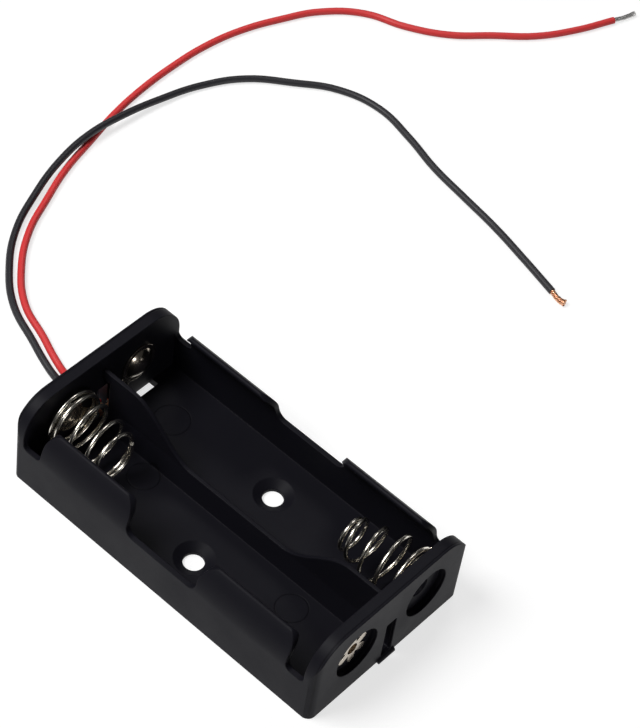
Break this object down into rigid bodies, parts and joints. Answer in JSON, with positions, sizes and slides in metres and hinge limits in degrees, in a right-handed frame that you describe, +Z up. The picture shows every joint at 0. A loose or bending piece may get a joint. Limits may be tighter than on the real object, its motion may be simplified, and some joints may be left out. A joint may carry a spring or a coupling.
{
  "type": "cylindrical cell holder",
  "caption": "Low rectangular open-top tray with curled snap wings, side-by-side round-cell bays, coil-spring and button contacts, countersunk fixing holes and loose insulated leads.",
  "frame": {"origin": "centre of the flat underside of the moulding, measured without the two leads", "axes": "X along the cells with the leads leaving toward -X, Y across the two bays with the red lead's bay toward +Y, Z up out of the open top"},
  "size_m": [0.102, 0.1463, 0.0148],
  "materials": {
    "black_moulding": "fine satin texture, slightly scuffed, with glossier rounded edges",
    "plated_wire": "bright nickel-plated spring steel wire",
    "plated_steel": "dull bright nickel plating with faint forming marks",
    "solder": "smooth satin tin solder",
    "bare_copper": "bright stranded copper",
    "black_jacket": "smooth semi-gloss soft vinyl jacket",
    "red_jacket": "smooth semi-gloss soft vinyl jacket"
  },
  "bodies": {
    "root": {"holder_body": "black_moulding", "back_spring": "plated_wire", "front_spring": "plated_wire", "back_spring_rivet": "plated_steel", "positive_rivet_back": "plated_steel", "positive_rivet_front": "plated_steel", "negative_tag": "plated_steel", "positive_tag": "plated_steel", "link_strap": "plated_steel", "negative_solder": "solder", "positive_solder": "solder", "black_core_end": "bare_copper", "red_core_end": "bare_copper", "black_lead": "black_jacket", "red_lead": "red_jacket", "black_tip": "bare_copper", "red_tip": "solder"}
  },
  "joints": []
}
